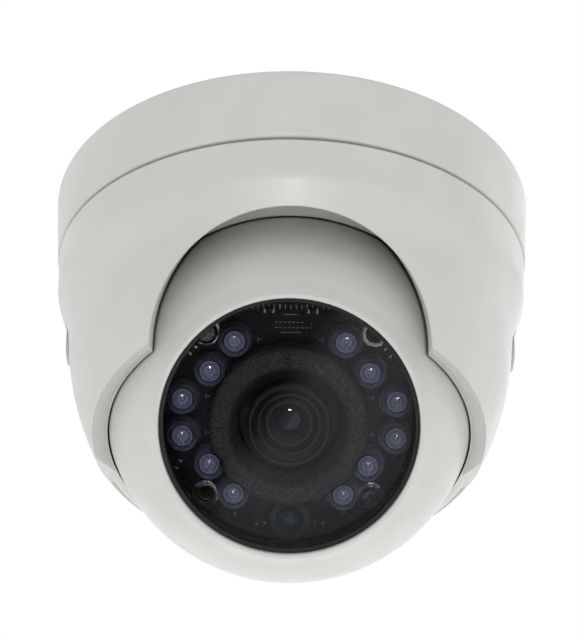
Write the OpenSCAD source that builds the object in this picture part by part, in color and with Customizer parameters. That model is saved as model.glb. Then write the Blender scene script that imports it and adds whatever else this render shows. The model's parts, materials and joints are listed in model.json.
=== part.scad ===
// Ceiling-mounted turret camera: a round base, a panning shell, a tilting yoke and a round
// camera ball with a flat window. Millimetres, +Z up, origin at the centre of the ceiling face,
// the camera looks towards -Y and downwards.

/* [Base] */
// Radius of the base at the ceiling
base_r = 44.9; // [42:0.25:48]
// Depth of the base
base_h = 12.7; // [11:0.1:13]
// Radius of the base at its lower edge
base_low_r = 43.6; // [43:0.1:45]
// Thickness of the ceiling plate
plate_t = 2.4; // [2:0.1:3]
// Radius of the cable opening in the plate
cable_way_r = 15; // [12:0.5:16]
// Diameter of the circle of ceiling screws
ceiling_pcd = 75; // [74:0.5:76]
// Radius of each ceiling screw hole
ceiling_hole_r = 2.2; // [1.8:0.1:2.3]

/* [Turret] */
// Gap between the base and the shell
seam_gap = 0.6; // [0.4:0.1:1]
// Wall of the shell
shell_wall = 1.8; // [1.6:0.1:1.8]
// Angle of the shell's lower opening below level
rim_angle = 73; // [71:0.5:75]
// Distance from the ball's centre to the plane of the lower opening
rim_reach = 11.8; // [11.4:0.1:12.2]
// Half width of the arched front slot
arch_r = 22.1; // [21.5:0.1:22.8]
// Height of the arch's centre above the optical axis
arch_rise = 13.1; // [11:0.1:14]
// Height of the side screws above the ball's centre
side_screw_rise = 9.7; // [9:0.1:10.5]
// Radius of the side plugs
plug_r = 4; // [3.6:0.1:4.2]

/* [Ball] */
// Radius of the ball
ball_r = 33; // [32.8:0.1:33]
// Depth of the ball's centre below the ceiling
ball_drop = 36.8; // [36.6:0.1:37.2]
// Angle of the optical axis below level
look_down = 38.8; // [20:0.1:60]
// Wall of the ball
ball_wall = 2; // [1.6:0.1:2.2]
// Radius of the visible window
window_r = 20.9; // [20.5:0.1:21]
// Distance from the ball's centre to the bezel's face
bezel_face = 25.6; // [25.4:0.1:25.8]

/* [Camera] */
// Radius of the infrared LED domes
led_r = 2.5; // [2.3:0.1:2.5]
// Height of the LEDs above their board
led_h = 5.6; // [5:0.1:5.8]
// Drop of the lens below the ball's axis
lens_drop = 0.8; // [0.6:0.1:1.6]
// Outer radius of the foam lens shade
foam_r = 13.1; // [12.5:0.1:13.4]
// Inner radius of the foam lens shade
foam_in_r = 8.5; // [8:0.1:9]

/* [Hidden] */
$fn = 96;
eps = 0.01;
white_paint = [0.86, 0.86, 0.84];
dark_plastic = [0.05, 0.05, 0.055];
steel_grey = [0.7, 0.7, 0.72];
board_black = [0.03, 0.03, 0.035];
board_green = [0.05, 0.22, 0.12];
led_tint = [0.55, 0.55, 0.85, 0.6];

// Pan bearing
bearing_r = 27.5;
bearing_in_r = 24.2;
bearing_low = 8.4;
pan_play = 0.05;
flange_top = 3.4;
flange_low = 8.35;
flange_r = 33.2;
stop_r = 31.3;
stop_out_r = 33;
stop_half = 2;
retainer_low = 9.9;
retainer_screw_r = 25.9;
arm_r = 38.9;
arm_half = 7;

// Shell outline
shell_top = base_h + seam_gap;
drum_r = 43.3;
crease_r = 42.75;
crease_z = 20.4;
foot_r = 40.3;
foot_z = 26.6;
bowl_arc = 52;
bowl_mid = [-11.83, -24.44];
lip_gap = 0.3;
lip_round = 2.4;
rim_wall = 2.2;
lip_level = -50.3;
mouth_r = 31.5;
mouth_flare = 45;
mouth_wall = 2.4;
felt_r = 32.75;
felt_low = rim_reach - 3.2;
felt_high = rim_reach - 1.9;
cage_r = ball_r + 1.35;
cage_reach = 5.6;
hood_wall = 1.4;
hood_back = 5.2;
hood_front = 7;
plug_face = 40.4;
tongue_r = 41;
tongue_in_r = 39.4;
tongue_rise = 2.3;
pad_face = 36.9;
pad_r = 5.4;

// Yoke
yoke_in_r = ball_r + 0.25;
yoke_out_r = ball_r + 1.15;
strap_half = 4.2;
boss_r = 5;
bridge_near = 27.6;
bridge_far = 29.4;
pin_r = 2;
pin_play = 0.05;
stem_r = 6;
stem_bore = 3.5;
stem_end = 33.2;
rear_flat = 27;

// Ball
split = -6;
seal_mid_r = 30.7;
seal_ring_r = 29;
seal_r = 0.85;
ball_screw_ring = 25.9;
ball_screw_head = -12;
board_boss_ring = 19.8;
bezel_crease_r = 23.2;
bezel_top_r = 21.5;
gasket_top = 24.7;
glass_top = 24.2;
glass_low = 22;
glass_r = 21.2;
retainer_r = 22.3;
retainer_in_r = 20.5;
retainer_depth = 20.6;

// Circuit boards, all measured along the optical axis
led_board_top = 15.8;
board_t = 1.6;
led_board_r = 21.6;
main_board_top = -5;
main_board_r = 22.2;
power_board_top = -15;
power_board_r = 19;
corner_hole = 13.85;
foam_mouth_r = 9.7;
board_hole_r = 1.35;

// Places of the infrared LEDs on the right-hand half, from top to bottom
led_half = [[9.1, 12.8], [13.1, 7.8], [17.6, 3.1], [17.6, -3.1], [13.1, -7.8], [9.1, -12.8]];
led_at = concat([for (p = led_half) [-p[0], p[1]]], led_half);
sensor_at = [0.3, -17.3];

// ---------- helpers ----------
function unit(v) = v / norm(v);

// Points of a round of radius r at corner b, on the way from a to c
function round_corner(a, b, c, r, n = 8) =
    let (u = unit(a - b), w = unit(c - b), half = acos(u * w) / 2)
    let (mid = b + unit(u + w) * r / sin(half), p = b + u * r / tan(half), q = b + w * r / tan(half))
    let (a0 = atan2(p[1] - mid[1], p[0] - mid[0]), a1 = atan2(q[1] - mid[1], q[0] - mid[0]))
    let (turn = (a1 - a0 + 540) % 360 - 180)
    [for (i = [0:n]) mid + r * [cos(a0 + turn * i / n), sin(a0 + turn * i / n)]];

// Points on a circle of radius r about mid
function arc(mid, r, from, to, n) =
    [for (i = [0:n]) mid + r * [cos(from + (to - from) * i / n), sin(from + (to - from) * i / n)]];

// The frame of the optical axis: local +Z leaves through the window, local +Y is up
module along_view(angle = look_down) {
    translate([0, 0, -ball_drop]) rotate([90 + angle, 0, 0]) children();
}

module ring(outer, inner, low, high) {
    translate([0, 0, low]) difference() {
        cylinder(r = outer, h = high - low);
        translate([0, 0, -1]) cylinder(r = inner, h = high - low + 2);
    }
}

module rod(r, low, high) {
    translate([0, 0, low]) cylinder(r = r, h = high - low);
}

module around(angles, r) {
    for (a = angles) rotate([0, 0, a]) translate([r, 0, 0]) children();
}

module cross_recess(r, low, high) {
    for (a = [45, 135]) rotate([0, 0, a])
        translate([-r, -r * 0.16, low]) cube([2 * r, r * 0.32, high - low]);
}

// A pan-head screw, its head's flat side at z = 0 and its shank downwards
module pan_screw(head_r, head_h, shank_r, length) {
    difference() {
        union() {
            rod(head_r, 0, head_h * 0.6);
            translate([0, 0, head_h * 0.6]) cylinder(r1 = head_r, r2 = head_r * 0.72, h = head_h * 0.4);
            rod(shank_r, -length, eps);
        }
        cross_recess(head_r * 0.62, head_h * 0.45, head_h + 1);
    }
}

// ---------- base ----------
module base_housing() color(white_paint) {
    difference() {
        rotate_extrude() polygon(concat(
            [[cable_way_r, -plate_t], [cable_way_r, 0]],
            round_corner([0, 0], [base_r, 0], [base_low_r, -base_h], 0.8, 6),
            round_corner([base_r, 0], [base_low_r, -base_h], [0, -base_h], 0.5, 6),
            [[base_low_r - 2.1, -base_h], [base_low_r - 2.1, -plate_t],
             [bearing_r, -plate_t], [bearing_r, -bearing_low],
             [bearing_in_r, -bearing_low], [bearing_in_r, -plate_t]]));
        around([90, 210, 330], ceiling_pcd / 2) rod(ceiling_hole_r, -plate_t - 1, 1);
        ring(43.2, 41.2, -1, 1);
        around([0 : 90 : 270], retainer_screw_r) rod(1.05, -bearing_low - 1, -4);
    }
    rotate([0, 0, 90 - stop_half]) rotate_extrude(angle = 2 * stop_half)
        translate([stop_r, -flange_top + 0.15]) square([stop_out_r - stop_r, flange_top - plate_t]);
}

module ceiling_gasket() color(dark_plastic) ring(43.15, 41.25, -0.98, 0);

module pan_washer() color("white") ring(31, 27.9, -flange_top + 0.05, -plate_t);

module pan_retainer() color(steel_grey) difference() {
    ring(30.4, 23.2, -retainer_low, -bearing_low);
    around([0 : 90 : 270], retainer_screw_r) rod(1.2, -retainer_low - 1, -bearing_low + 1);
}

module retainer_screws() color(steel_grey) around([0 : 90 : 270], retainer_screw_r)
    translate([0, 0, -retainer_low]) mirror([0, 0, 1]) pan_screw(1.8, 1.1, 1, 5);

// ---------- turret ----------
// Radius of the bowl at depth z, which is one long arc
function bowl_radius(z) = bowl_mid[0] + sqrt(pow(bowl_arc, 2) - pow(z - bowl_mid[1], 2));

// The shell's outline from its top edge down to the level low; w moves it inwards
function shell_outline(low, w = 0) =
    let (top = [drum_r - w, -shell_top], crease = [crease_r - w, -crease_z],
         foot = [foot_r - w, -foot_z], bowl = [bowl_radius(-31) - w, -31], steps = ceil((-31 - low) / 1.2))
    concat([top], round_corner(top, crease, foot, 6, 6), round_corner(crease, foot, bowl, 12, 6),
           [for (i = [0:steps]) let (z = -31 + (low + 31) * i / steps) [bowl_radius(z) - w, z]]);

module shell_outer() rotate_extrude() polygon(concat([[0, -shell_top]], shell_outline(-66), [[0, -66]]));

// Space in front of the flat mouth with its flared wall, set back by inset
module mouth_space(inset = 0) {
    reach = rim_reach - inset;
    along_view(rim_angle) rotate_extrude() polygon([[0, reach], [mouth_r, reach],
        [mouth_r + 50, reach + 50 * tan(mouth_flare)], [0, reach + 50 * tan(mouth_flare)]]);
}

// Space outside the rounded lip, below lip_level
module lip_space() {
    centre_h = rim_reach - lip_round;
    centre_r = sqrt(pow(ball_r + rim_wall - lip_round, 2) - pow(centre_h, 2));
    lift = atan2(centre_h, centre_r);
    intersection() {
        along_view(rim_angle) rotate_extrude() polygon(concat(
            [[mouth_r - 0.8, 90], [mouth_r - 0.8, rim_reach + 0.05]],
            arc([centre_r, centre_h], lip_round, 75, lift, 9),
            [[80 * cos(lift), 80 * sin(lift)], [80 * cos(lift), 90]]));
        translate([-60, -60, lip_level - 60]) cube([120, 120, 60]);
    }
}

// The arched slot that lets the window look out, made wider by w
module arch_outline(w = 0) {
    translate([0, arch_rise]) circle(r = arch_r + w);
    translate([-arch_r - w, -60]) square([2 * (arch_r + w), 60 + arch_rise]);
}

module side_screw_axis(side) {
    translate([0, 0, side_screw_rise - ball_drop]) rotate([0, 90 * side, 0]) children();
}

// Hollow inside the shell, closed off behind the mouth
module shell_cavity() difference() {
    rotate_extrude() polygon(concat([[0, -shell_top + 1], [tongue_in_r, -shell_top + 1],
        [tongue_in_r, -shell_top - 1.6]],
        [for (p = shell_outline(-41, shell_wall)) if (p[1] < -shell_top - 1.6) p], [[0, -41]]));
    mouth_space(mouth_wall);
}

// Short tunnel behind the arch; its end wall fits round the ball
module hood() along_view() translate([0, 0, hood_back]) linear_extrude(height = 50) difference() {
    arch_outline(hood_wall);
    translate([-60, -60]) square([120, 60 + arch_rise * 0.6]);
}

module turret_shell() color(white_paint) difference() {
    union() {
        intersection() {
            shell_outer();
            union() {
                difference() {
                    rod(60, -80, -shell_top + 0.5);
                    shell_cavity();
                    intersection() {
                        translate([0, 0, -ball_drop]) sphere(r = cage_r);
                        along_view(rim_angle) rod(60, -60, cage_reach);
                    }
                }
                for (side = [-1, 1]) side_screw_axis(side) rod(pad_r, pad_face, 39.5);
                hood();
            }
        }
        ring(tongue_r, tongue_in_r, -shell_top - 0.5, -shell_top + tongue_rise);
    }
    mouth_space();
    lip_space();
    translate([0, 0, -ball_drop]) sphere(r = ball_r + lip_gap);
    along_view() translate([0, 0, hood_front]) linear_extrude(height = 70) arch_outline();
    for (side = [-1, 1]) side_screw_axis(side) {
        rod(plug_r + 0.05, 39.2, 50);
        rod(3, 37.7, 50);
        rod(1.65, 30, 50);
    }
    lip_band(felt_r, felt_low, felt_high, 1.8);
}

// Band inside the lip, open at the arched slot
module lip_band(outer, low, high, slot) difference() {
    along_view(rim_angle) ring(outer, 20, low, high);
    along_view() linear_extrude(height = 70) arch_outline(slot);
}

// Felt ring in the shell's lip that keeps dust off the ball
module lip_ring() color([0.25, 0.25, 0.25]) difference() {
    lip_band(felt_r - 0.1, felt_low + 0.1, felt_high - 0.1, 1.9, $fn = 240);
    translate([0, 0, -ball_drop]) sphere(r = ball_r + 0.15, $fn = 240);
}

module plug(side) color(white_paint) side_screw_axis(side) difference() {
    rod(plug_r, 39.25, plug_face);
    ring(2.9, 2.5, plug_face - 0.3, 42);
}

module shell_screws() color(steel_grey) for (side = [-1, 1]) side_screw_axis(side)
    translate([0, 0, 37.72]) pan_screw(2.7, 1.4, 1.5, 3.4);

// Ring that turns in the base, with two arms down to the tilt pins
module inner_frame() color(steel_grey) {
    difference() {
        union() {
            ring(flange_r, bearing_r + pan_play, -flange_low, -flange_top);
            intersection() {
                rotate_extrude() polygon([
                    [flange_r - 1, -6.2], [arm_r, -6.2], [arm_r, -21], [37.9, -26.2],
                    [36.7, -34], [36.5, -37.6], [35.5, -40.8], [34.6, -40.8], [34.6, -33],
                    [35.2, -26], [arm_r - 1.8, -20.6], [arm_r - 1.8, -flange_low], [flange_r - 1, -flange_low]]);
                for (side = [-1, 1]) translate([side * 40 - 15, -arm_half, -60]) cube([30, 2 * arm_half, 60]);
            }
            for (side = [-1, 1]) side_screw_axis(side) rod(3.4, 34.4, 36.85);
            rotate([0, 0, 270 - stop_half]) rotate_extrude(angle = 2 * stop_half)
                translate([stop_r, -flange_top - 0.3]) square([stop_out_r - stop_r, 1.15]);
        }
        for (side = [-1, 1]) {
            side_screw_axis(side) {
                rod(1.55, 30, 50);
                rod(pad_r + 0.4, pad_face - 0.03, 50);
            }
            translate([0, 0, -ball_drop]) rotate([0, 90 * side, 0]) rod(pin_r, 30, 50);
        }
    }
}

module tilt_pin(side) color(steel_grey) translate([0, 0, -ball_drop]) rotate([0, 90 * side, 0])
    rod(pin_r, ball_r + 0.3, 36.45);

// Strap round the back of the ball; its flat bridge carries the ball's hollow stem
module tilt_yoke() color(steel_grey) along_view() difference() {
    union() {
        intersection() {
            difference() {
                sphere(r = yoke_out_r);
                sphere(r = yoke_in_r);
            }
            union() {
                translate([-40, -strap_half, -bridge_near - 0.8]) cube([80, 2 * strap_half, bridge_near]);
                for (side = [-1, 1]) rotate([0, 90 * side, 0]) rod(boss_r, 20, 40);
            }
        }
        translate([0, 0, -bridge_far]) cylinder(r1 = 17.2, r2 = 19, h = bridge_far - bridge_near);
    }
    for (side = [-1, 1]) rotate([0, 90 * side, 0]) rod(pin_r + pin_play, 20, 40);
    rod(stem_r + pin_play, -40, -20);
}

// ---------- ball ----------
module ball_front() color(white_paint) along_view() difference() {
    union() {
        difference() {
            rotate_extrude() polygon(concat(
                [[0, split], [sqrt(pow(ball_r, 2) - pow(split, 2)), split]],
                arc([0, 0], ball_r, asin(split / ball_r), acos(bezel_crease_r / ball_r), 40),
                round_corner([bezel_crease_r, 23.5], [bezel_top_r, bezel_face], [0, bezel_face], 0.35, 4),
                [[0, bezel_face]]));
            rotate_extrude() polygon(concat(
                [[0, split - 1], [seal_ring_r, split - 1], [seal_ring_r, split + 3]],
                arc([0, 0], ball_r - ball_wall, 2, acos(retainer_r / (ball_r - ball_wall)) - 2.8, 24),
                [[retainer_r, retainer_depth], [retainer_r, glass_low], [glass_r + 0.05, glass_low],
                 [glass_r + 0.05, gasket_top], [window_r, gasket_top], [window_r, 30], [0, 30]]));
        }
        intersection() {
            union() {
                around([30, 150, 270], ball_screw_ring) rod(3.2, split, 3);
                around([90, 210, 330], board_boss_ring) rod(2.6, main_board_top, 3);
                for (a = [90, 210, 330]) rotate([0, 0, a])
                    translate([board_boss_ring, -1, main_board_top + 1.2]) cube([12, 2, 6.8]);
            }
            sphere(r = ball_r - 1);
        }
    }
    around([30, 150, 270], ball_screw_ring) rod(1.3, split - 1, 1.6);
    around([90, 210, 330], board_boss_ring) rod(1.05, -9, 1);
    translate([0, 0, split]) rotate_extrude() translate([seal_mid_r, 0]) circle(r = seal_r + 0.05, $fn = 32);
}

module ball_rear() color(white_paint) along_view() difference() {
    union() {
        difference() {
            intersection() {
                sphere(r = ball_r);
                rod(60, -rear_flat, split - 0.02);
            }
            intersection() {
                sphere(r = ball_r - ball_wall);
                union() {
                    rod(60, -rear_flat + 2.2, split - 3);
                    rod(seal_ring_r, -rear_flat + 2.2, split + 1);
                }
            }
        }
        intersection() {
            around([30, 150, 270], ball_screw_ring) rod(3.4, -26, split - 0.3);
            sphere(r = ball_r - 0.5);
        }
        rod(stem_r, -stem_end, -rear_flat + 1);
    }
    around([30, 150, 270], ball_screw_ring) {
        rod(2.4, -40, ball_screw_head);
        rod(1.4, -40, 0);
    }
    rod(stem_bore, -40, 0);
    translate([0, 0, split]) rotate_extrude() translate([seal_mid_r, 0]) circle(r = seal_r + 0.05, $fn = 32);
}

module ball_seal() color(dark_plastic) along_view()
    translate([0, 0, split]) rotate_extrude() translate([seal_mid_r, 0]) circle(r = seal_r, $fn = 32);

module ball_screws() color(steel_grey) along_view() around([30, 150, 270], ball_screw_ring)
    translate([0, 0, ball_screw_head]) mirror([0, 0, 1]) pan_screw(2.2, 1.5, 1.25, 13);

module wave_washer() color(steel_grey) along_view() ring(9, stem_r + 0.1, -30.1, -bridge_far - 0.03);

module stem_nut() color(steel_grey) along_view() difference() {
    translate([0, 0, -32.8]) cylinder(r = 9, h = 2.65, $fn = 6);
    rod(stem_r + 0.02, -40, -20);
}

// Sealing sleeve where the cable leaves the ball
module cable_grommet() color(dark_plastic) along_view() {
    ring(stem_bore - 0.02, 2.3, -stem_end, -rear_flat + 2.25);
    ring(4.6, 2.3, -rear_flat + 2.25, -rear_flat + 3.6);
}

module front_window() color([0.2, 0.2, 0.22, 0.35]) along_view() rod(glass_r, glass_low, glass_top);

module window_gasket() color(dark_plastic) along_view() ring(glass_r, 20.2, glass_top, gasket_top);

module window_retainer() color(dark_plastic) along_view()
    ring(retainer_r - 0.05, retainer_in_r, retainer_depth, glass_low);

// ---------- camera ----------
module led_board() color(board_black) along_view() difference() {
    rod(led_board_r, led_board_top - board_t, led_board_top);
    translate([0, -lens_drop, 0]) rod(9.6, 0, 30);
    for (x = [-1, 1], y = [-1, 1]) translate([x * corner_hole, y * corner_hole, 0]) rod(board_hole_r, 0, 30);
}

module ir_led(i) color(led_tint) along_view() translate([led_at[i][0], led_at[i][1], led_board_top])
    rotate_extrude() polygon(concat([[0, 0], [led_r + 0.4, 0], [led_r + 0.4, 1], [led_r, 1]],
        arc([0, led_h - led_r], led_r, 0, 90, 12)));

module sensor_holder() color(dark_plastic) along_view() translate([sensor_at[0], sensor_at[1], 0])
    ring(3.4, 2.35, led_board_top, led_board_top + 2.6);

module light_sensor() color([0.3, 0.42, 0.5]) along_view()
    translate([sensor_at[0], sensor_at[1], led_board_top])
    rotate_extrude() polygon(concat([[0, 0], [2.3, 0]], arc([0, 1.9], 2.3, 0, 90, 12)));

module foam_shade() color(dark_plastic) along_view() difference() {
    translate([0, -lens_drop, 0]) rotate_extrude() polygon(concat(
        [[foam_in_r, led_board_top + 0.05], [foam_r, led_board_top + 0.05]],
        round_corner([foam_r, 10], [foam_r, glass_low - 0.1], [0, glass_low - 0.1], 1.2, 8),
        round_corner([30, glass_low - 0.1], [foam_mouth_r, glass_low - 0.1], [foam_in_r, led_board_top + 2], 1, 8),
        [[foam_in_r, led_board_top + 2]]));
    for (p = led_at) translate([p[0], p[1], 0]) {
        rod(led_r + 0.12, led_board_top, 30);
        rod(led_r + 0.5, led_board_top - 1, led_board_top + 1.1);
    }
    translate([sensor_at[0], sensor_at[1], 0]) rod(3.5, 0, led_board_top + 2.7);
}

module lens_barrel() color(dark_plastic) along_view() translate([0, -lens_drop, 0])
    rotate_extrude() polygon([[2.4, 1.5], [5.98, 1.5], [5.98, 11], [7, 11], [7, 20.2], [6.6, 20.6],
        [6.2, 20.6], [6, 20], [5.2, 19.2], [5.2, 19.5], [4.8, 19.5], [4.2, 18.3], [3.9, 18.6],
        [3.4, 18.6], [2.4, 17.4]]);

module lens_glass() color([0.35, 0.25, 0.4, 0.6]) along_view() translate([0, -lens_drop, 0])
    rotate_extrude() polygon(concat([[0, 14], [2.38, 14]], arc([0, 12.9], 4.5, 58, 90, 8)));

module lens_lock_ring() color(steel_grey) along_view() translate([0, -lens_drop, 0])
    difference() {
        rod(7.6, 8.1, 10);
        rod(6, 0, 20);
        around([0 : 20 : 340], 7.9) rod(0.55, 7, 12);
    }

module lens_holder() color(dark_plastic) along_view() translate([0, -lens_drop, 0])
    difference() {
        union() {
            rod(8.2, 1, 8);
            translate([-9, -9, 1]) cube([18, 18, 1.6]);
        }
        rod(6, 0, 20);
    }

// Case of the day and night filter changer; the filter frame slides in its slot
module ir_cut_housing() color(dark_plastic) along_view() translate([0, -lens_drop, 0])
    difference() {
        translate([-11, -9, main_board_top]) cube([24, 18, 1 - main_board_top]);
        rod(5, -3, 10);
        translate([-6, -5.5, -6]) cube([12, 11, 3.2]);
        translate([-9.5, -6.1, -2.1]) cube([21.2, 12.2, 1.3]);
    }

module ir_cut_filter() color([0.6, 0.85, 0.85, 0.7]) along_view() translate([0, -lens_drop, 0])
    translate([-9.3, -6, -2]) cube([14.6, 12, 1.1]);

module image_sensor() color([0.2, 0.25, 0.3]) along_view() translate([-4.2, -lens_drop - 4.2, main_board_top])
    cube([8.4, 8.4, 1.5]);

module main_board() color(board_green) along_view() difference() {
    rod(main_board_r, main_board_top - board_t, main_board_top);
    around([90, 210, 330], board_boss_ring) rod(1.2, -20, 20);
    for (x = [-1, 1], y = [-1, 1]) translate([x * corner_hole, y * corner_hole, 0]) rod(board_hole_r, -20, 20);
}

module power_board() color(board_green) along_view() difference() {
    rod(power_board_r, power_board_top - board_t, power_board_top);
    for (x = [-1, 1]) translate([x * corner_hole, 0, 0]) rod(board_hole_r, -20, 0);
}

module led_standoffs() color(steel_grey) along_view() for (x = [-1, 1], y = [-1, 1])
    translate([x * corner_hole, y * corner_hole, main_board_top]) difference() {
        cylinder(r = 2.3, h = led_board_top - board_t - main_board_top, $fn = 6);
        rod(1.25, 8, 30);
        rod(1.25, -1, 6);
    }

module rear_standoffs() color(steel_grey) along_view() for (x = [-1, 1])
    translate([x * corner_hole, 0, power_board_top])
        cylinder(r = 2.3, h = main_board_top - board_t - power_board_top, $fn = 6);

module led_board_screws() color(steel_grey) along_view() for (s = [-1, 1])
    translate([s * corner_hole, -s * corner_hole, led_board_top]) pan_screw(1.9, 1.5, 1.2, 7);

module main_board_screws() color(steel_grey) along_view() around([90, 210, 330], board_boss_ring)
    translate([0, 0, main_board_top - board_t]) mirror([0, 0, 1]) pan_screw(1.8, 1.2, 1, 5.5);

module board_connectors() color([0.9, 0.88, 0.8]) along_view() {
    translate([-5, 13, main_board_top]) cube([10, 4, 4.5]);
    translate([-5, 12.6, led_board_top - board_t - 4]) cube([10, 4, 4]);
    translate([-6, -14, power_board_top]) cube([12, 5, 5]);
}

// Ribbon between the LED board's socket and the main board's socket
module board_link() color([0.75, 0.75, 0.72]) along_view()
    translate([-4, 14.4, main_board_top + 4.5]) cube([8, 0.8, led_board_top - board_t - 8.5 - main_board_top]);

base_housing();
ceiling_gasket();
pan_washer();
pan_retainer();
retainer_screws();
inner_frame();
turret_shell();
shell_screws();
plug(-1);  // plug_left
plug(1);  // plug_right
tilt_pin(-1);  // tilt_pin_left
tilt_pin(1);  // tilt_pin_right
lip_ring();
tilt_yoke();
ball_front();
ball_rear();
ball_seal();
ball_screws();
stem_nut();
wave_washer();
cable_grommet();
front_window();
window_gasket();
window_retainer();
led_board();
for (i = [0 : len(led_at) - 1]) ir_led(i);
light_sensor();
sensor_holder();
foam_shade();
lens_barrel();
lens_glass();
lens_lock_ring();
lens_holder();
ir_cut_housing();
ir_cut_filter();
image_sensor();
main_board();
power_board();
led_standoffs();
rear_standoffs();
led_board_screws();
main_board_screws();
board_connectors();
board_link();
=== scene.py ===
import json
import math

import bmesh
import bpy
from mathutils import Matrix, Vector, noise


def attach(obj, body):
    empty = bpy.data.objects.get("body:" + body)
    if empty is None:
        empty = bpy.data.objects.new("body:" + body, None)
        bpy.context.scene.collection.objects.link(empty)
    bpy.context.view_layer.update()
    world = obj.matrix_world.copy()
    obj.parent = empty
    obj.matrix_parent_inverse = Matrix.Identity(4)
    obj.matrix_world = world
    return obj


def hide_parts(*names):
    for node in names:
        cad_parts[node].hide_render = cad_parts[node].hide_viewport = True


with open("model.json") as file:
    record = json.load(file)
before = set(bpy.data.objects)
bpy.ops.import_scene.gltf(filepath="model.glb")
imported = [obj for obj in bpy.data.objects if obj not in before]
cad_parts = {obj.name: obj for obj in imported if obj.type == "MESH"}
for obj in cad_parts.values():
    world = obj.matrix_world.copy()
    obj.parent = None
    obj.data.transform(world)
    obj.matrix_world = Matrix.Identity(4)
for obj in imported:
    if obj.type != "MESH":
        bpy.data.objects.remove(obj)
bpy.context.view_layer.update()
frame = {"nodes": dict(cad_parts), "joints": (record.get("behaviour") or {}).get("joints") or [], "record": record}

joints = {j["name"]: j for j in frame["joints"]}
slot_of = {p["node"]: p["material_slot"] for p in frame["record"]["subparts"]}
MM = 0.001

# ---------- places taken from the frame ----------
BALL = Vector(joints["tilt"]["pos_m"])
VIEW_AXIS = Vector(joints["roll"]["axis"]).normalized()
VIEW_UP = VIEW_AXIS.cross(Vector((1, 0, 0)))
OPTICS = Matrix((Vector((1, 0, 0)), VIEW_UP, VIEW_AXIS)).transposed().to_4x4()
OPTICS.translation = BALL
TO_OPTICS = OPTICS.inverted()


def optical_box(name):
    """Lowest and highest corners of a node, along the optical axis, in millimetres."""
    points = [TO_OPTICS @ v.co / MM for v in frame["nodes"][name].data.vertices]
    return ([min(p[i] for p in points) for i in range(3)],
            [max(p[i] for p in points) for i in range(3)])


def optical_middle(name):
    """Middle of a node across the optical axis, in millimetres."""
    low, high = optical_box(name)
    return (low[0] + high[0]) / 2, (low[1] + high[1]) / 2


# ---------- material kit ----------
def node(mat, kind, **inputs):
    """A new shader node; an underscore in a socket's name stands for a space."""
    made = mat.node_tree.nodes.new(kind)
    for name, value in inputs.items():
        made.inputs[name.replace("_", " ")].default_value = value
    return made


def link(mat, out, into):
    mat.node_tree.links.new(out, into)


def mixed(mat, amount, first, second):
    """Two shaders, blended by an amount that varies over the surface."""
    mix = node(mat, "ShaderNodeMixShader")
    link(mat, amount, mix.inputs[0])
    link(mat, first.outputs[0], mix.inputs[1])
    link(mat, second.outputs[0], mix.inputs[2])
    return mix


def show(mat, shader):
    link(mat, shader.outputs[0], mat.node_tree.nodes["Material Output"].inputs["Surface"])


def new_material(name, color, roughness, **sockets):
    mat = bpy.data.materials.new(name)
    mat.use_nodes = True
    shader = mat.node_tree.nodes["Principled BSDF"]
    shader.inputs["Base Color"].default_value = (*color, 1)
    shader.inputs["Roughness"].default_value = roughness
    for socket, value in sockets.items():
        shader.inputs[socket.replace("_", " ")].default_value = value
    return mat, shader


def grain(mat, scale, detail=2.0, stretch=(1, 1, 1)):
    """Noise over the piece's own coordinates; its features are about 1 / scale metres across."""
    coords = node(mat, "ShaderNodeTexCoord")
    mapping = node(mat, "ShaderNodeMapping", Scale=stretch)
    made = node(mat, "ShaderNodeTexNoise", Scale=scale, Detail=detail)
    link(mat, coords.outputs["Object"], mapping.inputs["Vector"])
    link(mat, mapping.outputs["Vector"], made.inputs["Vector"])
    return made.outputs["Fac"]


def cells(mat, scale):
    """Distance from the nearest cell centre; the cells are about 1 / scale metres across."""
    coords = node(mat, "ShaderNodeTexCoord")
    made = node(mat, "ShaderNodeTexVoronoi", Scale=scale)
    link(mat, coords.outputs["Object"], made.inputs["Vector"])
    return made.outputs["Distance"]


def ramp(mat, fac, stops):
    """Colours picked by a value, from (place, colour) stops."""
    made = node(mat, "ShaderNodeValToRGB")
    link(mat, fac, made.inputs["Fac"])
    elements = made.color_ramp.elements
    while len(elements) < len(stops):
        elements.new(0.5)
    for element, (place, color) in zip(elements, stops):
        element.position = place
        element.color = (*color, 1)
    return made.outputs["Color"]


def spread(mat, fac, low, high, start=0.3, end=0.7):
    """Maps a value that runs from start to end onto low to high."""
    made = node(mat, "ShaderNodeMapRange")
    for name, value in (("From Min", start), ("From Max", end), ("To Min", low), ("To Max", high)):
        made.inputs[name].default_value = value
    link(mat, fac, made.inputs["Value"])
    return made.outputs["Result"]


def bump(mat, height, strength, depth, under=None):
    """Relief from a height, laid over another normal if one is given."""
    made = node(mat, "ShaderNodeBump", Strength=strength, Distance=depth)
    link(mat, height, made.inputs["Height"])
    if under is not None:
        link(mat, under, made.inputs["Normal"])
    return made.outputs["Normal"]


def shades(color, amount):
    """A darker and a lighter version of a colour."""
    return [tuple(min(1, c * (1 + s * amount)) for c in color) for s in (-1, 1)]


def textured(name, color, roughness, scale, tone=0.06, rough_tone=0.08, relief=0.1,
             depth=0.02 * MM, stretch=(1, 1, 1), **sockets):
    """A material with tone, gloss and relief that vary at the given scale."""
    mat, shader = new_material(name, color, roughness, **sockets)
    dark, light = shades(color, tone)
    link(mat, ramp(mat, grain(mat, scale * 0.3, 4, stretch), [(0.3, dark), (0.7, light)]),
         shader.inputs["Base Color"])
    link(mat, spread(mat, grain(mat, scale * 0.2, 3, stretch), max(0.03, roughness - rough_tone),
                     min(1, roughness + rough_tone)), shader.inputs["Roughness"])
    link(mat, bump(mat, grain(mat, scale, 3, stretch), relief, depth), shader.inputs["Normal"])
    return mat


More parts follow.
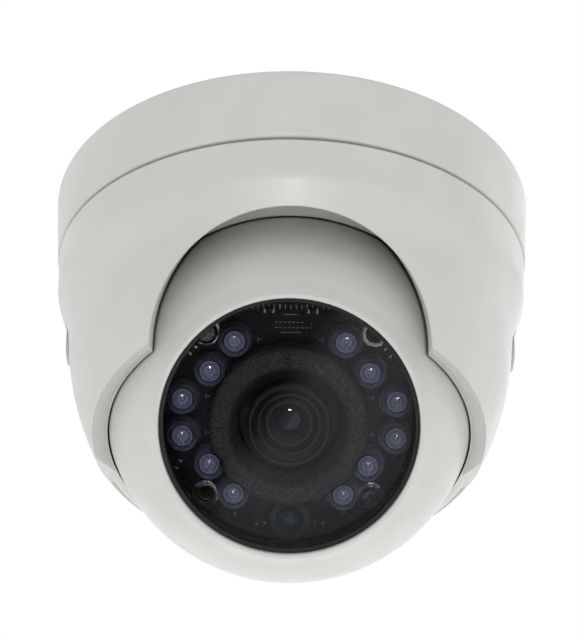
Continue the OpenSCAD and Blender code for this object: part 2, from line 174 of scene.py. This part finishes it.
def see_through(mat, shader, tint, solid, edge):
    """Lets part of the light straight through: more where the surface faces the eye."""
    clear = node(mat, "ShaderNodeBsdfTransparent", Color=(*tint, 1))
    rim = node(mat, "ShaderNodeFresnel", IOR=edge)
    amount = spread(mat, rim.outputs["Fac"], solid, 1.0, 0.0, 1.0)
    show(mat, mixed(mat, amount, clear, shader))


def make_paint(name, color, roughness):
    """Powder coat: fine orange peel, slightly uneven gloss, soft edges and painted shade in its crevices."""
    mat, shader = new_material(name, color, roughness, Specular_IOR_Level=0.34)
    dark, light = shades(color, 0.022)
    # Painted shade: the base colour is darkened where surfaces close in, in crevices and seams.
    painted_crevice_shade = node(mat, "ShaderNodeAmbientOcclusion", Distance=0.6 * MM)
    painted_crevice_shade.samples = 4
    link(mat, ramp(mat, grain(mat, 90, 6), [(0.35, dark), (0.65, light)]), painted_crevice_shade.inputs["Color"])
    link(mat, painted_crevice_shade.outputs["Color"], shader.inputs["Base Color"])
    link(mat, spread(mat, grain(mat, 160, 5), roughness - 0.05, roughness + 0.07),
         shader.inputs["Roughness"])
    edge = node(mat, "ShaderNodeBevel", Radius=0.35 * MM)
    edge.samples = 3
    peel = bump(mat, grain(mat, 900, 2), 0.10, 0.04 * MM, edge.outputs["Normal"])
    link(mat, bump(mat, grain(mat, 4200, 2), 0.10, 0.012 * MM, peel), shader.inputs["Normal"])
    return mat


def make_window():
    """Flat clear window with a thin reflection and a few specks of dust."""
    mat, unused = new_material("window_glass", (0.9, 0.92, 0.95), 0.02)
    mat.node_tree.nodes.remove(unused)
    glaze = node(mat, "ShaderNodeBsdfGlossy", Color=(0.95, 0.96, 1, 1), Roughness=0.02)
    clear = node(mat, "ShaderNodeBsdfTransparent", Color=(0.93, 0.93, 0.95, 1))
    rim = node(mat, "ShaderNodeFresnel", IOR=1.36)
    dust = node(mat, "ShaderNodeBsdfDiffuse", Color=(0.55, 0.55, 0.54, 1))
    specks = spread(mat, grain(mat, 2600, 2), 0.0, 0.35, 0.735, 0.80)
    show(mat, mixed(mat, specks, mixed(mat, rim.outputs[0], clear, glaze), dust))
    return mat


def make_epoxy():
    """Clear lavender epoxy: a glassy shine over a faintly milky body, denser at its outline."""
    mat, shader = new_material("led_epoxy", (0.5, 0.5, 0.66), 0.3, Specular_IOR_Level=0.0)
    link(mat, ramp(mat, grain(mat, 500, 3), [(0.3, (0.46, 0.48, 0.64)), (0.7, (0.60, 0.62, 0.80))]),
         shader.inputs["Base Color"])
    clear = node(mat, "ShaderNodeBsdfTransparent", Color=(0.90, 0.91, 0.98, 1))
    shine = node(mat, "ShaderNodeBsdfGlossy", Color=(1, 1, 1, 1), Roughness=0.04)
    facing = node(mat, "ShaderNodeLayerWeight", Blend=0.4)
    rim = node(mat, "ShaderNodeFresnel", IOR=1.5)
    milk = spread(mat, facing.outputs["Facing"], 0.17, 0.85, 0.2, 0.95)
    show(mat, mixed(mat, rim.outputs[0], mixed(mat, milk, clear, shader), shine))
    return mat


def make_dome():
    """Blue-grey clear dome of the light sensor."""
    mat, shader = new_material("sensor_dome", (0.10, 0.15, 0.20), 0.08, Specular_IOR_Level=0.6)
    link(mat, ramp(mat, grain(mat, 700, 3), [(0.3, (0.07, 0.10, 0.15)), (0.7, (0.14, 0.21, 0.28))]),
         shader.inputs["Base Color"])
    see_through(mat, shader, (0.55, 0.68, 0.80), 0.35, 1.45)
    return mat


def make_lens_glass():
    """Coated front glass: violet in the middle, green at its edge."""
    mat, shader = new_material("lens_coating", (0.05, 0.03, 0.07), 0.03, Specular_IOR_Level=0.9,
                               Coat_Weight=0.8, Coat_Roughness=0.02)
    facing = node(mat, "ShaderNodeLayerWeight", Blend=0.35)
    coating = [(0.0, (0.05, 0.022, 0.06)), (0.45, (0.09, 0.035, 0.11)), (0.9, (0.02, 0.07, 0.07))]
    link(mat, ramp(mat, facing.outputs["Facing"], coating), shader.inputs["Base Color"])
    see_through(mat, shader, (0.5, 0.42, 0.6), 0.55, 1.5)
    return mat


def make_foam(name, color, scale):
    """Open-cell foam: pits darkened with painted shade, and paler cell walls."""
    mat, shader = new_material(name, color, 0.95, Specular_IOR_Level=0.2)
    pit_relief_and_shade = cells(mat, scale)
    pale = tuple(c * 1.9 + 0.004 for c in color)
    tone = node(mat, "ShaderNodeMix")
    tone.data_type = "RGBA"
    tone.blend_type = "MULTIPLY"
    tone.inputs["Factor"].default_value = 1
    dark = tuple(c * 0.55 for c in color)
    patches = ramp(mat, grain(mat, scale * 1.7, 4), [(0.3, (0.6,) * 3), (0.72, (1.0,) * 3)])
    # Painted shade: the colour darkens towards the middle of each cell, where the relief sinks into a pit.
    link(mat, ramp(mat, pit_relief_and_shade, [(0.1, dark), (0.6, pale)]), tone.inputs["A"])
    link(mat, patches, tone.inputs["B"])
    link(mat, tone.outputs["Result"], shader.inputs["Base Color"])
    link(mat, bump(mat, pit_relief_and_shade, 0.7, 0.12 * MM), shader.inputs["Normal"])
    return mat


def make_board(name, color, trace):
    """Solder mask over copper: tracks stand a little proud and a little paler."""
    mat, shader = new_material(name, color, 0.28, Specular_IOR_Level=0.5)
    coords = node(mat, "ShaderNodeTexCoord")
    bricks = node(mat, "ShaderNodeTexBrick", Scale=230, Mortar_Size=0.035, Mortar_Smooth=0.2)
    bricks.inputs["Color1"].default_value = (0, 0, 0, 1)
    bricks.inputs["Color2"].default_value = (0.15, 0.15, 0.15, 1)
    bricks.inputs["Mortar"].default_value = (1, 1, 1, 1)
    link(mat, coords.outputs["Object"], bricks.inputs["Vector"])
    link(mat, ramp(mat, bricks.outputs["Color"], [(0.0, color), (1.0, trace)]),
         shader.inputs["Base Color"])
    link(mat, spread(mat, grain(mat, 700, 4), 0.2, 0.4), shader.inputs["Roughness"])
    raised = bump(mat, bricks.outputs["Color"], 0.3, 0.02 * MM)
    link(mat, bump(mat, grain(mat, 2500, 2), 0.06, 0.01 * MM, raised), shader.inputs["Normal"])
    return mat


def make_barrel():
    """Matt moulded black with a fine grain."""
    mat, shader = new_material("black_plastic", (0.017, 0.017, 0.018), 0.42)
    link(mat, ramp(mat, grain(mat, 900, 4), [(0.3, (0.013, 0.013, 0.014)), (0.7, (0.026, 0.026, 0.027))]),
         shader.inputs["Base Color"])
    link(mat, spread(mat, grain(mat, 600, 4), 0.32, 0.52), shader.inputs["Roughness"])
    link(mat, bump(mat, grain(mat, 3600, 3), 0.25, 0.02 * MM), shader.inputs["Normal"])
    return mat


MATERIALS = {
    "white_paint": make_paint("white_paint", (0.70, 0.703, 0.676), 0.40),
    "plug_paint": make_paint("plug_paint", (0.66, 0.662, 0.638), 0.30),
    "gasket_foam": make_foam("gasket_foam", (0.030, 0.030, 0.031), 1500),
    "nylon": textured("nylon", (0.78, 0.77, 0.72), 0.45, 1500),
    "bright_steel": textured("bright_steel", (0.60, 0.60, 0.61), 0.24, 1800, 0.12, 0.1, 0.12,
                             stretch=(1, 1, 6), Metallic=1.0),
    "cast_alloy": textured("cast_alloy", (0.52, 0.52, 0.52), 0.45, 1600, 0.08, 0.1, 0.35,
                           0.05 * MM, Metallic=0.9),
    "felt": textured("felt", (0.05, 0.05, 0.05), 0.95, 3000, 0.35, 0.03, 0.8, 0.1 * MM),
    "black_rubber": textured("black_rubber", (0.022, 0.022, 0.022), 0.55, 1800, 0.15, 0.1, 0.2),
    "window_glass": make_window(),
    "black_plastic": make_barrel(),
    "black_board": make_board("black_board", (0.0075, 0.0075, 0.008), (0.013, 0.013, 0.014)),
    "green_board": make_board("green_board", (0.01, 0.10, 0.045), (0.03, 0.22, 0.09)),
    "sensor_dome": make_dome(),
    "shade_foam": make_foam("shade_foam", (0.038, 0.038, 0.038), 2400),
    "lens_coating": make_lens_glass(),
    "lock_brass": textured("lock_brass", (0.022, 0.021, 0.02), 0.4, 1800),
    "stud_brass": textured("stud_brass", (0.66, 0.52, 0.26), 0.32, 1800, Metallic=0.9),
    "filter_glass": textured("filter_glass", (0.35, 0.62, 0.62), 0.06, 600),
    "chip": textured("chip", (0.06, 0.08, 0.12), 0.3, 900),
    "cream_plastic": textured("cream_plastic", (0.80, 0.75, 0.62), 0.45, 1500),
    "ribbon": textured("ribbon", (0.70, 0.70, 0.67), 0.5, 1200),
    "led_epoxy": make_epoxy(),
    "tinned": textured("tinned", (0.72, 0.73, 0.75), 0.22, 2400, 0.15, 0.1, 0.5, 0.05 * MM,
                       Metallic=1.0),
    # Pale lavender for the painted highlight rings along each lamp's cup lip and dome outline.
    "painted_edge_highlight": textured("painted_edge_highlight", (0.62, 0.66, 0.84), 0.25, 1500, Specular_IOR_Level=0.8),
    "die_silver": textured("die_silver", (0.80, 0.80, 0.86), 0.3, 3000, Metallic=0.3),
    "die_blue": textured("die_blue", (0.02, 0.28, 0.34), 0.25, 5200, 0.9, 0.1, 0.3),
    "mark_ink": textured("mark_ink", (0.30, 0.31, 0.32), 0.6, 2600, 0.25),
    "resistor": textured("resistor", (0.016, 0.016, 0.018), 0.35, 2000),
    "cup_silver": textured("cup_silver", (0.34, 0.36, 0.44), 0.30, 2600, 0.15, 0.12, 0.3,
                           Metallic=0.3),
}

for name, obj in frame["nodes"].items():
    for place in obj.material_slots:
        place.material = MATERIALS[slot_of[name]]


# ---------- shape kit ----------
SHARP_EDGE = math.radians(38)


def place_piece(name, bm, material):
    """Turns a mesh drawn in optical millimetres into a named piece that rides on the ball."""
    mesh = bpy.data.meshes.new(name)
    bmesh.ops.recalc_face_normals(bm, faces=bm.faces)
    bm.to_mesh(mesh)
    bm.free()
    mesh.transform(OPTICS @ Matrix.Scale(MM, 4))
    mesh.materials.append(MATERIALS[material])
    for face in mesh.polygons:
        face.use_smooth = True
    piece = bpy.data.objects.new(name, mesh)
    bpy.context.scene.collection.objects.link(piece)
    mesh.set_sharp_from_angle(angle=SHARP_EDGE)
    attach(piece, "ball")


def lathe(bm, profile, centre, steps=40, wobble=None):
    """Turns a closed profile of (radius, height) points round the optical axis at centre."""
    rings = []
    for i in range(steps):
        a = 2 * math.pi * i / steps
        stretch = 1 + (wobble(a) if wobble else 0)
        rings.append([bm.verts.new((centre[0] + r * stretch * math.cos(a),
                                    centre[1] + r * stretch * math.sin(a), centre[2] + h))
                      for r, h in profile])
    for i in range(steps):
        a, b = rings[i], rings[(i + 1) % steps]
        for j in range(len(profile)):
            k = (j + 1) % len(profile)
            if profile[j][0] == 0 and profile[k][0] == 0:
                continue
            bm.faces.new((a[j], a[k], b[k], b[j]))
    bmesh.ops.remove_doubles(bm, verts=bm.verts, dist=1e-5)


def rounded_box(bm, centre, size, turn=0.0, soft=0.12):
    """A small block with bevelled edges; sizes in millimetres along the optical axis."""
    made = bmesh.ops.create_cube(bm, size=1)["verts"]
    edges = list({e for v in made for e in v.link_edges})
    bmesh.ops.scale(bm, vec=Vector(size), verts=made)
    grown = bmesh.ops.bevel(bm, geom=edges, offset=min(size) * soft, segments=2, affect="EDGES",
                            profile=0.6)
    grown_verts = {v for f in grown["faces"] for v in f.verts} | {v for v in made if v.is_valid}
    verts = list({w for v in grown_verts for f in v.link_faces for w in f.verts})
    bmesh.ops.rotate(bm, cent=(0, 0, 0), matrix=Matrix.Rotation(turn, 3, "Z"), verts=verts)
    bmesh.ops.translate(bm, vec=Vector(centre), verts=verts)


# ---------- soft pieces: rebuilt with their cells and fibres in the mesh ----------
SUNK = 0.35  # share of the relief by which the broken surface lies below the CAD surface


def soft_piece(name, source, body, voxel, relief, grain_size):
    """A foam or felt copy of a CAD solid, with a broken surface; lengths in metres."""
    mesh = frame["nodes"][source].data.copy()
    mesh.name = name
    piece = bpy.data.objects.new(name, mesh)
    bpy.context.scene.collection.objects.link(piece)
    bm = bmesh.new()
    bm.from_mesh(mesh)
    bmesh.ops.remove_doubles(bm, verts=bm.verts, dist=0.002 * MM)
    bm.to_mesh(mesh)
    bm.free()
    remesh = piece.modifiers.new("remesh", "REMESH")
    remesh.mode = "VOXEL"
    remesh.voxel_size = voxel
    soften = piece.modifiers.new("soften", "SMOOTH")
    soften.iterations = 2
    bpy.context.view_layer.update()
    evaluated = piece.evaluated_get(bpy.context.evaluated_depsgraph_get())
    done = bpy.data.meshes.new_from_object(evaluated)
    piece.modifiers.clear()
    piece.data = done
    normals = [v.normal.copy() for v in done.vertices]
    for v, n in zip(done.vertices, normals):
        pit = noise.noise(v.co / grain_size) + 0.6 * noise.noise(v.co / (grain_size * 0.45))
        v.co += n * (relief * (pit - SUNK))
    done.materials.clear()
    done.materials.append(MATERIALS[slot_of[source]])
    for face in done.polygons:
        face.use_smooth = True
    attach(piece, body)
    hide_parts(source)


soft_piece("lens_shade_foam", "foam_shade", "ball", 0.16 * MM, 0.07 * MM, 0.32 * MM)
soft_piece("ceiling_seal_foam", "ceiling_gasket", "base", 0.3 * MM, 0.05 * MM, 0.7 * MM)
soft_piece("dust_felt", "lip_ring", "turret", 0.18 * MM, 0.05 * MM, 0.4 * MM)

# ---------- what the window shows ----------
LED_COUNT = 12
led_boxes = [optical_box("ir_led_%d" % (i + 1)) for i in range(LED_COUNT)]
led_places = [((lo[0] + hi[0]) / 2, (lo[1] + hi[1]) / 2, lo[2]) for lo, hi in led_boxes]
board_top = led_places[0][2]

# Reflector cup with its bead of silver, on a post that runs down to the leads
cups, dies, posts, rim_highlights = bmesh.new(), bmesh.new(), bmesh.new(), bmesh.new()
CUP = [(0.0, 2.35), (0.75, 2.35), (1.40, 2.80), (1.46, 2.98), (1.62, 2.98), (1.62, 2.75),
       (1.05, 2.0), (0.42, 1.8), (0.42, 0.1), (0.0, 0.1)]
# Thin bright rings inside the epoxy: painted highlights on the cup's lip and along the dome's outline.
CUP_LIP_HIGHLIGHT = [(1.50, 2.99), (1.58, 3.04), (1.66, 2.99), (1.58, 2.95)]
DOME_OUTLINE_HIGHLIGHT = [(2.34, 3.30), (2.40, 3.38), (2.46, 3.30), (2.40, 3.22)]
DIE_RING = [(0.62, 2.42), (0.80, 2.46), (0.84, 2.62), (0.74, 2.72), (0.62, 2.62)]
DIE_LEVEL = 2.58
# Drop from the lamp's middle, level over the board, size and softness of each block of the post
POST_BLOCKS = [(1.25, 1.5, (0.62, 0.5, 2.6), 0.12), (0.75, 2.75, (0.30, 1.1, 0.12), 0.12),
               (1.45, 2.9, (0.75, 0.32, 0.3), 0.3)]
for x, y, z in led_places:
    lathe(cups, CUP, (x, y, z), 36)
    lathe(dies, DIE_RING, (x, y, z), 28)
    # Painted highlight rings for this lamp's cup lip and dome outline.
    lathe(rim_highlights, CUP_LIP_HIGHLIGHT, (x, y, z), 40)
    lathe(rim_highlights, DOME_OUTLINE_HIGHLIGHT, (x, y, z), 40)
    rounded_box(dies, (x, y, z + DIE_LEVEL), (0.34, 0.34, 0.22))
    for drop, level, size, soft in POST_BLOCKS:
        rounded_box(posts, (x, y - drop, z + level), size, 0, soft)
place_piece("led_cups", cups, "cup_silver")
place_piece("led_dies", dies, "die_silver")
place_piece("led_rim_highlights", rim_highlights, "painted_edge_highlight")
place_piece("led_posts", posts, "cup_silver")

# Plated rings round the corner holes, with the scalloped solder left by hand
rings = bmesh.new()
STANDOFF_RADIUS = 2.3
hole_at = optical_box("led_standoffs")[1][0] - STANDOFF_RADIUS
RING = [(1.42, 0.0), (2.35, 0.0), (2.42, 0.06), (2.3, 0.16), (1.9, 0.22), (1.5, 0.18), (1.42, 0.08)]
for sx in (-1, 1):
    for sy in (-1, 1):
        lathe(rings, RING, (sx * hole_at, sy * hole_at, board_top), 72,
              lambda a: 0.022 * math.sin(11 * a) + 0.012 * math.sin(5 * a + 1))
place_piece("plated_rings", rings, "tinned")

# Chip resistors with tinned ends between the lamps
# Place across the board in millimetres, and turn in degrees
RESISTORS = [(-18.6, -8.6, 62), (18.6, -8.6, -62), (-16.2, 10.9, 52), (16.2, 10.9, -52),
             (-4.6, -18.9, 8), (5.2, -18.7, -8), (-9.6, -17.4, 24), (9.9, -17.2, -24),
             (-3.6, 17.6, 0), (3.6, 17.6, 0)]
END_REACH = 0.72
bodies, ends = bmesh.new(), bmesh.new()
for x, y, turn in RESISTORS:
    t = math.radians(turn)
    rounded_box(bodies, (x, y, board_top + 0.26), (1.2, 0.8, 0.44), t)
    for side in (-1, 1):
        end_x, end_y = x + side * END_REACH * math.cos(t), y + side * END_REACH * math.sin(t)
        rounded_box(ends, (end_x, end_y, board_top + 0.25), (0.34, 0.84, 0.48), t)
place_piece("chip_resistors", bodies, "resistor")
place_piece("resistor_ends", ends, "tinned")

# Plain printed ticks, brackets and dashes; they spell nothing
marks = bmesh.new()
INK = 0.012
TICK_OFF = 3.7
TICK_LENGTHS = (0.8, 0.5)
SCALE_ROW, SCALE_TICKS, SCALE_STEP = 18.2, 15, 0.9
DASH_STEP = 0.72


def stroke(x, y, length, turn=0.0, width=0.13):
    rounded_box(marks, (x, y, board_top + INK), (length, width, INK * 2), math.radians(turn), 0.2)


for x, y, _ in led_places:
    inward = -1 if x > 0 else 1
    stroke(x + inward * TICK_OFF, y - 0.1, TICK_LENGTHS[0], 90)
    stroke(x + inward * TICK_OFF + inward * 0.45, y - 0.1, TICK_LENGTHS[1])
for i in range(SCALE_TICKS):
    stroke(-6.3 + i * SCALE_STEP, SCALE_ROW, 0.7, 90, 0.16 if i % 5 else 0.3)
for row, count in ((15.6, 7), (14.7, 9)):
    for i in range(count):
        stroke(-2.4 + i * DASH_STEP, row, 0.42)
for row, length in ((16.9, 2.4), (13.9, 3.4)):
    stroke(0, row, length)
place_piece("board_marks", marks, "mark_ink")

# Inside the light sensor: its chip and two bond pads
sensor_x, sensor_y = optical_middle("light_sensor")
sensor_tip = optical_box("light_sensor")[1][2]
chip = bmesh.new()
rounded_box(chip, (sensor_x, sensor_y + 0.1, sensor_tip - 0.95), (1.5, 0.75, 0.2))
for side in (-1, 1):
    rounded_box(chip, (sensor_x + side * 0.95, sensor_y + 0.1, sensor_tip - 1.0), (0.25, 0.3, 0.16))
place_piece("sensor_chip", chip, "die_blue")

# Iris behind the front glass
IRIS = [(0.45, -0.9), (2.36, -0.3), (2.36, -1.1), (0.45, -1.1)]
iris = bmesh.new()
lathe(iris, IRIS, (*optical_middle("lens_glass"), optical_box("lens_glass")[0][2]), 48)
place_piece("iris", iris, "black_plastic")

# A black shroud closes the gap between the lens barrel and the lamp board
SHROUD = [(7.03, 15.2), (8.3, 15.2), (8.3, 15.5), (7.03, 15.5)]
shroud = bmesh.new()
lathe(shroud, SHROUD, (*optical_middle("lens_barrel"), 0), 64)
place_piece("lens_shroud", shroud, "black_plastic")


# ---------- camera ----------
CAMERA_REACH = 230 * MM
CAMERA_RISE = math.radians(30.3)
CAMERA_TARGET = Vector((-0.12 * MM, 0, -21.2 * MM))
CAMERA_ROLL = math.radians(0.8)
LENS = 69.7
SENSOR = 36


def make_camera():
    ahead = Vector((0, math.cos(CAMERA_RISE), math.sin(CAMERA_RISE)))
    data = bpy.data.cameras.new("camera")
    data.lens = LENS
    data.sensor_width = SENSOR
    data.clip_start = 0.01
    data.clip_end = 20
    cam = bpy.data.objects.new("camera", data)
    bpy.context.scene.collection.objects.link(cam)
    cam.location = CAMERA_TARGET - ahead * CAMERA_REACH
    turn = ahead.to_track_quat("-Z", "Y").to_matrix().to_4x4()
    cam.rotation_euler = (turn @ Matrix.Rotation(CAMERA_ROLL, 4, "Z")).to_euler()
    bpy.context.scene.camera = cam


make_camera()

# ---------- studio ----------
FLOOR_LEVEL = -0.55
FLOOR_HALF = 3
AMBIENT_LOW = 1.14
AMBIENT_HIGH = 0.77
# What shiny surfaces mirror: a dark room to the left of a plane, a grey wall to its right
ROOM_EDGE = (0.835, 0.4257, -0.3487)
ROOM_DARK = 0.03
ROOM_GREY = 0.46
BACKDROP = 1.1


def make_world():
    """White backdrop for the camera, a soft tent of light, and a darker room in reflections."""
    world = bpy.data.worlds.new("studio")
    bpy.context.scene.world = world
    world.use_nodes = True
    background = world.node_tree.nodes["Background"]
    coords = node(world, "ShaderNodeTexCoord")
    path = node(world, "ShaderNodeLightPath")
    split = node(world, "ShaderNodeSeparateXYZ")
    link(world, coords.outputs["Generated"], split.inputs[0])
    soft = spread(world, split.outputs["Z"], AMBIENT_LOW, AMBIENT_HIGH, -1, -0.3)
    side = node(world, "ShaderNodeVectorMath")
    side.operation = "DOT_PRODUCT"
    side.inputs[1].default_value = ROOM_EDGE
    link(world, coords.outputs["Generated"], side.inputs[0])
    ahead = spread(world, side.outputs["Value"], ROOM_DARK, ROOM_GREY, -0.010, 0.012)
    behind = spread(world, split.outputs["Y"], 0.0, BACKDROP, -0.25, 0.35)
    mirrored = node(world, "ShaderNodeMath")
    mirrored.operation = "ADD"
    link(world, ahead, mirrored.inputs[0])
    link(world, behind, mirrored.inputs[1])
    glossy = node(world, "ShaderNodeMix")
    link(world, path.outputs["Is Glossy Ray"], glossy.inputs["Factor"])
    link(world, soft, glossy.inputs["A"])
    link(world, mirrored.outputs[0], glossy.inputs["B"])
    seen = node(world, "ShaderNodeMix")
    link(world, path.outputs["Is Camera Ray"], seen.inputs["Factor"])
    link(world, glossy.outputs["Result"], seen.inputs["A"])
    seen.inputs["B"].default_value = 1.0
    link(world, seen.outputs["Result"], background.inputs["Strength"])
    background.inputs["Color"].default_value = (1, 1, 1, 1)


def soft_light(name, place, size, watts):
    """A round lamp that faces the ball and is not seen itself."""
    data = bpy.data.lights.new(name, "AREA")
    data.shape = "DISK"
    data.size = size
    data.energy = watts
    lamp = bpy.data.objects.new(name, data)
    bpy.context.scene.collection.objects.link(lamp)
    lamp.location = place
    lamp.rotation_euler = (BALL - Vector(place)).to_track_quat("-Z", "Y").to_euler()
    lamp.visible_camera = False
    return lamp


def make_floor():
    """Plain pale floor, seen only from above."""
    bm = bmesh.new()
    bmesh.ops.create_grid(bm, x_segments=24, y_segments=24, size=FLOOR_HALF)
    for v in bm.verts:
        v.co.z = FLOOR_LEVEL
    mesh = bpy.data.meshes.new("floor")
    bm.to_mesh(mesh)
    bm.free()
    mesh.materials.append(textured("studio_floor", (0.82, 0.82, 0.80), 0.7, 60, 0.02, 0.05, 0.02))
    floor = bpy.data.objects.new("floor", mesh)
    bpy.context.scene.collection.objects.link(floor)
    floor.visible_glossy = False
    floor.visible_diffuse = False


make_world()
make_floor()
soft_light("left_soft", (-0.85, -0.08, -0.12), 0.5, 0.14)
soft_light("right_soft", (0.85, -0.08, -0.12), 0.5, 0.05)
soft_light("front_soft", (0.06, -0.95, 0.08), 0.3, 0.38)
spark = soft_light("spark", (0.03, -0.90, -0.03), 0.24, 2.9)
spark.visible_diffuse = False
soft_light("back_soft", (0.3, 0.8, 0.45), 0.6, 0.4)

scene = bpy.context.scene
scene.view_settings.view_transform = "Standard"
scene.cycles.use_denoising = True
scene.cycles.transparent_max_bounces = 16
